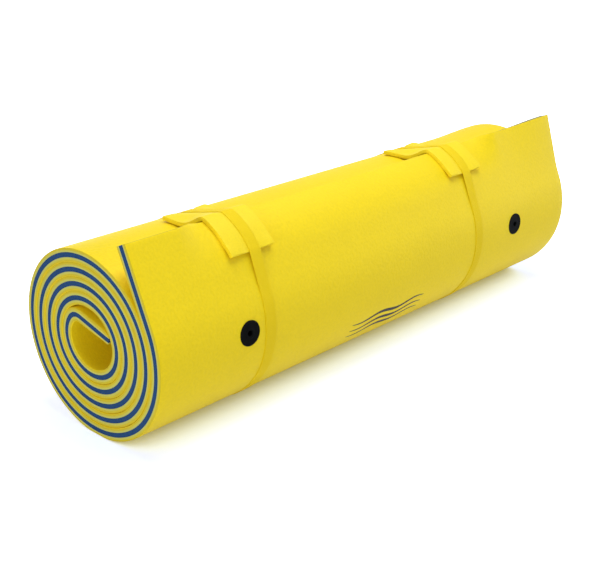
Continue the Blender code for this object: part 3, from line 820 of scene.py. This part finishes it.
def make_pad(name, node, x, sides, front):
    """A pad under the band at x; returns the line on it that the band presses on."""
    piece, column, row, upper = sheet_of(name, PAD_COLUMNS, PAD_ROWS, rim_slots=1)
    edge = pad_path.nearest(edge_corner)
    places = np.linspace(edge - front, edge - front + PAD_LENGTH, PAD_ROWS + 1)
    rise = np.clip((places - edge) / (PAD_LENGTH - front), 0, 1)
    points = np.empty((len(column), 3))
    for k, share in enumerate(np.linspace(-1, 1, PAD_COLUMNS + 1)):
        beside = np.clip((abs(share) - PRESSED_SHARE) / (1 - PRESSED_SHARE), 0, 1)
        tip = smooth_step(1 - (places - places[0]) / FRONT_CURL_LENGTH) * smooth_step(beside)
        under = drooped(pad_path.at(places, FRONT_CURL * tip), beside, rise)
        thick = PAD_THICKNESS - PAD_PRESS * (1 - smooth_step(beside * SWELL_RATE))
        for side, face in ((True, under + left_of(smoothed_ways(under)) * thick), (False, under)):
            mine = (column == k) & (upper == side)
            points[mine, 0] = x + share * sides[int(share > 0)]
            points[mine, 1:] = face[row[mine]]
    write_points(piece, points)
    face_outwards(piece)
    set_uv(piece, points[:, 0], places[row])
    round_edges(piece, PAD_CORNER, segments=3)
    smooth(piece)
    dress(piece, pad_yellow)
    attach(piece, node.replace("_pad", ""))
    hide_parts(node)
    print(name, "is", 1000 * PAD_LENGTH, "by", round(1000 * sum(sides)), "mm")
    return pad_path.at(places, PAD_THICKNESS - PAD_PRESS)


near_crest = make_pad("near_edge_pad", "near_strap_pad", NEAR_STRAP_X, NEAR_PAD_SIDES, NEAR_PAD_FRONT)
far_crest = make_pad("far_edge_pad", "far_strap_pad", FAR_STRAP_X, FAR_PAD_SIDES, FAR_PAD_FRONT)

# %% [markdown]
# Webbing and tape are woven. Their ribs are far too small and too many to model, so sine waves along
# the UV map, which is in metres, raise and lower a bump. Loop tape is a fine deep pile, and hook tape
# is coarser.

# %% Webbing and tape materials
WEBBING_ROUGHNESS = 0.72
RIB_SHARES = (0.8, 0.4)         # of the pitch across the webbing, for the ribs along it
RIB_STRENGTH = 0.5
FUZZ_SCALE = 2500.0
FUZZ_SHARE = 0.6                # of the ribs' depth
FUZZ_SHADE, FUZZ_STRENGTH = 0.93, 0.4


def webbing_material(name, colour, pitch, depth):
    """Ribs of yarn by the UV map: U goes across the webbing and V along it."""
    made, nodes, links, shader = new_material(name, colour, WEBBING_ROUGHNESS)
    place = nodes.new("ShaderNodeTexCoord")
    split = nodes.new("ShaderNodeSeparateXYZ")
    links.new(place.outputs["UV"], split.inputs[0])

    def ribs(axis, length):
        turn = nodes.new("ShaderNodeMath")
        turn.operation = "MULTIPLY"
        turn.inputs[1].default_value = 2 * math.pi / length
        links.new(split.outputs[axis], turn.inputs[0])
        wave = nodes.new("ShaderNodeMath")
        wave.operation = "SINE"
        links.new(turn.outputs[0], wave.inputs[0])
        return wave.outputs[0]

    weave = nodes.new("ShaderNodeMath")
    weave.operation = "MULTIPLY_ADD"
    links.new(ribs("X", pitch), weave.inputs[0])
    for share, socket in zip(RIB_SHARES, weave.inputs[1:]):
        links.new(ribs("Y", pitch * share), socket)
    fuzz = noise(nodes, links, place.outputs["Object"], FUZZ_SCALE, 2.0)
    soft = bump(nodes, links, fuzz, depth * FUZZ_SHARE, FUZZ_STRENGTH)
    links.new(bump(nodes, links, weave.outputs[0], depth, RIB_STRENGTH, soft), shader.inputs["Normal"])
    shades = between(nodes, links, fuzz, *NOISE_RANGE, tint(colour, FUZZ_SHADE), colour)
    links.new(shades, shader.inputs["Base Color"])
    return made


yellow_webbing = webbing_material("yellow_webbing", (0.92, 0.68, 0.001), pitch=0.0016, depth=0.00012)
loop_tape = webbing_material("loop_tape", (0.78, 0.56, 0.010), pitch=0.0008, depth=0.00060)
hook_tape = webbing_material("hook_tape", (0.70, 0.50, 0.010), pitch=0.0022, depth=0.00080)
print("woven materials:", yellow_webbing.name, loop_tape.name, hook_tape.name)

# %% [markdown]
# Webbing and tape are flat lengths of cloth. Each one is a sheet like the foam layers, but laid on the
# strap's path: its rows follow the path, and its columns go across the webbing.

# %% Lengths of webbing and tape
STRIP_COLUMNS = 8
TAPE_THICKNESS = 0.00165
TAPE_MARGIN = 0.002             # from the tape to the side of the webbing


def strip(name, path, x, first, last, low, thickness, width, material, rows):
    """A flat length of webbing or tape on a path; low is the height of its underside at each distance."""
    piece, column, row, upper = sheet_of(name, STRIP_COLUMNS, rows)
    places = np.linspace(first, last, rows + 1)
    section = path.at(places[row], low(places)[row] + np.where(upper, thickness, 0.0))
    points = np.column_stack([x + (column / STRIP_COLUMNS - 0.5) * width, section])
    write_points(piece, points)
    face_outwards(piece)
    set_uv(piece, points[:, 0], places[row])
    round_edges(piece, thickness / 4, segments=2)
    smooth(piece)
    dress(piece, material)
    return piece


def webbing(name, path, x, first, last, low, rows):
    return strip(name, path, x, first, last, low, BAND_THICKNESS, BAND_WIDTH,
                 yellow_webbing, rows)


def tape(name, path, x, first, last, height, material, rows):
    def low(distance):
        return np.full(len(distance), height)

    return strip(name, path, x, first, last, low, TAPE_THICKNESS, BAND_WIDTH - 2 * TAPE_MARGIN,
                 material, rows)


print("webbing and tape are", 1000 * BAND_THICKNESS, "and", 1000 * TAPE_THICKNESS, "mm thick")

# %% [markdown]
# Each strap is one length of webbing: it starts at the back, runs down under the roll, up the front and
# over its pad, and closes on itself with hook and loop tape. The last stretch is the pull tab, which
# peels off about its sewn root, so it is a piece of its own.

# %% The two straps
BAND_GAP = 0.0003               # between the webbing and what it presses on
RAMP_LENGTH = 0.045             # over which the outer end climbs onto the closure
STACK_OFFSET = 0.0052           # its height over the path there
TAB_ROOT = 0.012                # how far the sewn outer end passes over the inner one
TAB_GAP = 0.0010                # from there to the line about which the tab peels
TAB_LENGTH = 0.095
JOIN = 0.010                    # how far before the sewn end the tab's own mesh begins
JOIN_GAP = 0.0002
TAPE_GAP = 0.00005
LOOP_START, LOOP_LENGTH = 0.006, 0.110
HOOK_START, HOOK_TAIL = 0.005, 0.012


def make_strap(side, x, crest):
    body = side + "_strap"
    path = Path(hull(np.concatenate([mat_outline, crest])), BAND_GAP)
    solid_hinge = next(joint["pos_m"] for joint in frame["joints"] if joint["name"] == side + "_tab_peel")
    path.shift = path.nearest(solid_hinge[1:], STACK_OFFSET + BAND_THICKNESS) - TAB_ROOT - TAB_GAP
    end = path.length + TAB_ROOT
    root = end + TAB_GAP
    tip = root + TAB_LENGTH

    def climbing(distance):
        return STACK_OFFSET * smooth_step((distance - path.length + RAMP_LENGTH) / RAMP_LENGTH)

    band = webbing(side + "_webbing", path, x, 0.0, end - JOIN, climbing, rows=420)
    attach(band, body)
    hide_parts(body + "_band")
    loop = tape(side + "_loop_tape", path, x, LOOP_START, LOOP_START + LOOP_LENGTH,
                BAND_THICKNESS + TAPE_GAP, loop_tape, rows=60)
    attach(loop, body)
    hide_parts(body + "_loop_patch")
    hook = tape(side + "_hook_tape", path, x, root + HOOK_START, tip - HOOK_TAIL,
                STACK_OFFSET - TAPE_THICKNESS - TAPE_GAP, hook_tape, rows=40)
    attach(hook, body + "_tab")
    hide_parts(body + "_hook_patch")
    tab = webbing(side + "_pull_tab", path, x, end - JOIN + JOIN_GAP, tip, climbing, rows=80)
    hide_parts(body + "_tab")
    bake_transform(tab)


make_strap("near", NEAR_STRAP_X, near_crest)
make_strap("far", FAR_STRAP_X, far_crest)

# %% [markdown]
# The camera stands where the photograph was taken from: its place, heading and lens come from the fit to the
# spiral at the near end. Blender's shift moves the picture by half a pixel, because the fit counted pixels
# from their centres.

# %% Camera
PICTURE_WIDTH = 590             # of the photograph, in pixels
FOCAL_PIXELS = 1079.0
HEADING = math.radians(43.442)
DIP = math.radians(21.656)      # how far the camera looks down
CAMERA_PLACE = (-2.3725, -2.10235, 1.41105)
SENSOR = 36.0

camera_data = bpy.data.cameras.new("photo_camera")
camera_data.sensor_width = SENSOR
camera_data.lens = FOCAL_PIXELS / PICTURE_WIDTH * SENSOR
camera_data.shift_x = -0.5 / PICTURE_WIDTH
camera_data.shift_y = 0.5 / PICTURE_WIDTH
camera = bpy.data.objects.new("photo_camera", camera_data)
bpy.context.scene.collection.objects.link(camera)
camera.location = CAMERA_PLACE
camera.rotation_euler = (math.pi / 2 - DIP, 0.0, HEADING - math.pi / 2)
bpy.context.scene.camera = camera
print("camera lens", round(camera_data.lens, 1), "mm")

# %% [markdown]
# The studio is a white floor under an even sky. For the camera alone the floor adds a little light of
# its own, so that it reads as white. That light grows with the share of open sky over each place, which
# an ambient occlusion node measures, and so it paints shade into the crevice under the roll and the
# roll's soft shadow, on top of the real shadow there. Where little sky is open its colour is warm:
# painted yellow light, as if thrown off the mat.

# %% Light that only the camera sees
GLOW_START, GLOW_END = 1.0, 2.4 # distances from the roll's middle
NEAR_GLOW, FAR_GLOW = 1.0, 2.0  # strength of the floor's own light there
SKY_SAMPLES = 16
SKY_REACH = 1.0                 # how far away a thing still hides the sky
FLOOR_GLOW = (                  # share of open sky, and the colour of the floor's own light
    (0.00, (0.02, 0.00, 0.00)),
    (0.10, (0.20, 0.16, 0.04)),
    (0.16, (0.28, 0.30, 0.18)),
    (0.22, (0.42, 0.44, 0.38)),
    (0.27, (0.52, 0.56, 0.53)),
    (0.33, (0.57, 0.64, 0.68)),
    (0.45, (0.50, 0.56, 0.80)),
    (0.65, (0.46, 0.52, 0.76)),
    (1.00, (0.62, 0.66, 0.86)),
)


def seen_as_background(nodes, links):
    """One for camera, glossy and transmission rays, and zero for the light that falls on the object."""
    ray = nodes.new("ShaderNodeLightPath")
    total = ray.outputs["Is Camera Ray"]
    for name in ("Is Glossy Ray", "Is Transmission Ray"):
        larger = nodes.new("ShaderNodeMath")
        larger.operation = "MAXIMUM"
        links.new(total, larger.inputs[0])
        links.new(ray.outputs[name], larger.inputs[1])
        total = larger.outputs[0]
    return total


def own_light_colour(nodes, links):
    """The colour of FLOOR_GLOW for the share of open sky over each place."""
    open_sky = nodes.new("ShaderNodeAmbientOcclusion")
    open_sky.samples = SKY_SAMPLES
    open_sky.inputs["Distance"].default_value = SKY_REACH
    ramp = nodes.new("ShaderNodeValToRGB")
    stops = ramp.color_ramp.elements
    while len(stops) < len(FLOOR_GLOW):
        stops.new(0.5)
    for stop, (share, colour) in zip(stops, FLOOR_GLOW):
        stop.position = share
        stop.color = (*colour, 1.0)
    links.new(open_sky.outputs["AO"], ramp.inputs["Fac"])
    return ramp.outputs["Color"]


def own_light_strength(nodes, links):
    """Stronger far from the roll, and nothing for the rays that light the object."""
    far = nodes.new("ShaderNodeVectorMath")
    far.operation = "LENGTH"
    links.new(nodes.new("ShaderNodeTexCoord").outputs["Object"], far.inputs[0])
    glow = nodes.new("ShaderNodeMapRange")
    glow.inputs["From Min"].default_value = GLOW_START
    glow.inputs["From Max"].default_value = GLOW_END
    glow.inputs["To Min"].default_value = NEAR_GLOW
    glow.inputs["To Max"].default_value = FAR_GLOW
    links.new(far.outputs["Value"], glow.inputs["Value"])
    seen = nodes.new("ShaderNodeMath")
    seen.operation = "MULTIPLY"
    links.new(seen_as_background(nodes, links), seen.inputs[0])
    links.new(glow.outputs["Result"], seen.inputs[1])
    return seen.outputs[0]


print("the floor's own light has", len(FLOOR_GLOW), "steps")

# %% [markdown]
# The floor is one large plane, so wide that no view shows its end. It is part of the stage and no part
# of the object, and it lies a hair below the roll.

# %% The white floor
FLOOR_SIZE = 60.0
FLOOR_DROP = 0.0005
# pale yellow, so that the floor's shadows carry painted yellow light as if thrown off the mat; lit, it still
# reads as white
FLOOR_COLOUR = (0.82, 0.84, 0.73)
FLOOR_ROUGHNESS = 0.9
FLOOR_SHINE = 0.5

bpy.ops.object.select_all(action="DESELECT")
bpy.ops.mesh.primitive_plane_add(size=FLOOR_SIZE, location=(0.0, 0.0, -FLOOR_DROP))
floor = bpy.context.active_object
floor.name = "floor"
paint, nodes, links, shader = new_material("white_floor", FLOOR_COLOUR, FLOOR_ROUGHNESS, FLOOR_SHINE)
links.new(own_light_colour(nodes, links), shader.inputs["Emission Color"])
links.new(own_light_strength(nodes, links), shader.inputs["Emission Strength"])
floor.data.materials.append(paint)
print("the floor is", FLOOR_SIZE, "m wide")

# %% [markdown]
# Four soft lights: a large one overhead gives the pale top, and weaker ones beside the near end, beside
# the far end and behind the roll keep its cut faces and its back from going dark. The sky fills in the
# rest. It is dimmer for the object than for the camera, which sees plain white.

# %% Lights and sky
SKY_LIGHT = 0.39
SOFT_LIGHTS = (                 # name, place, what it points at, size and power in watts
    ("overhead", (0.05, -0.34, 3.2), (0.0, 0.0, 0.3), (2.8, 1.8), 65.0),
    ("near_fill", (-4.3, -1.4, 0.8), (-0.9, 0.0, 0.3), (1.8, 1.2), 46.0),
    ("far_fill", (4.2, -1.8, 0.8), (0.9, -0.2, 0.25), (1.6, 1.2), 31.0),
    ("rear_fill", (0.4, 4.6, 0.8), (0.0, 0.2, 0.25), (3.0, 1.2), 28.0),
)

for name, place, target, size, power in SOFT_LIGHTS:
    data = bpy.data.lights.new(name, "AREA")
    data.shape = "RECTANGLE"
    data.size, data.size_y = size
    data.energy = power
    lamp = bpy.data.objects.new(name, data)
    bpy.context.scene.collection.objects.link(lamp)
    lamp.location = place
    way = np.array(target) - np.array(place)
    tilt = math.atan2(math.hypot(way[0], way[1]), -way[2])
    lamp.rotation_euler = (tilt, 0.0, math.atan2(-way[0], way[1]))

world = bpy.data.worlds.new("studio")
bpy.context.scene.world = world
world.use_nodes = True
sky_nodes, sky_links = world.node_tree.nodes, world.node_tree.links
sky = sky_nodes["Background"]
sky.inputs["Color"].default_value = (*WHITE, 1.0)
strength = sky_nodes.new("ShaderNodeMapRange")
strength.inputs["To Min"].default_value = SKY_LIGHT
strength.inputs["To Max"].default_value = 1.0
sky_links.new(seen_as_background(sky_nodes, sky_links), strength.inputs["Value"])
sky_links.new(strength.outputs["Result"], sky.inputs["Strength"])
bpy.context.scene.view_settings.view_transform = "Standard"
print(len(SOFT_LIGHTS), "soft lights")
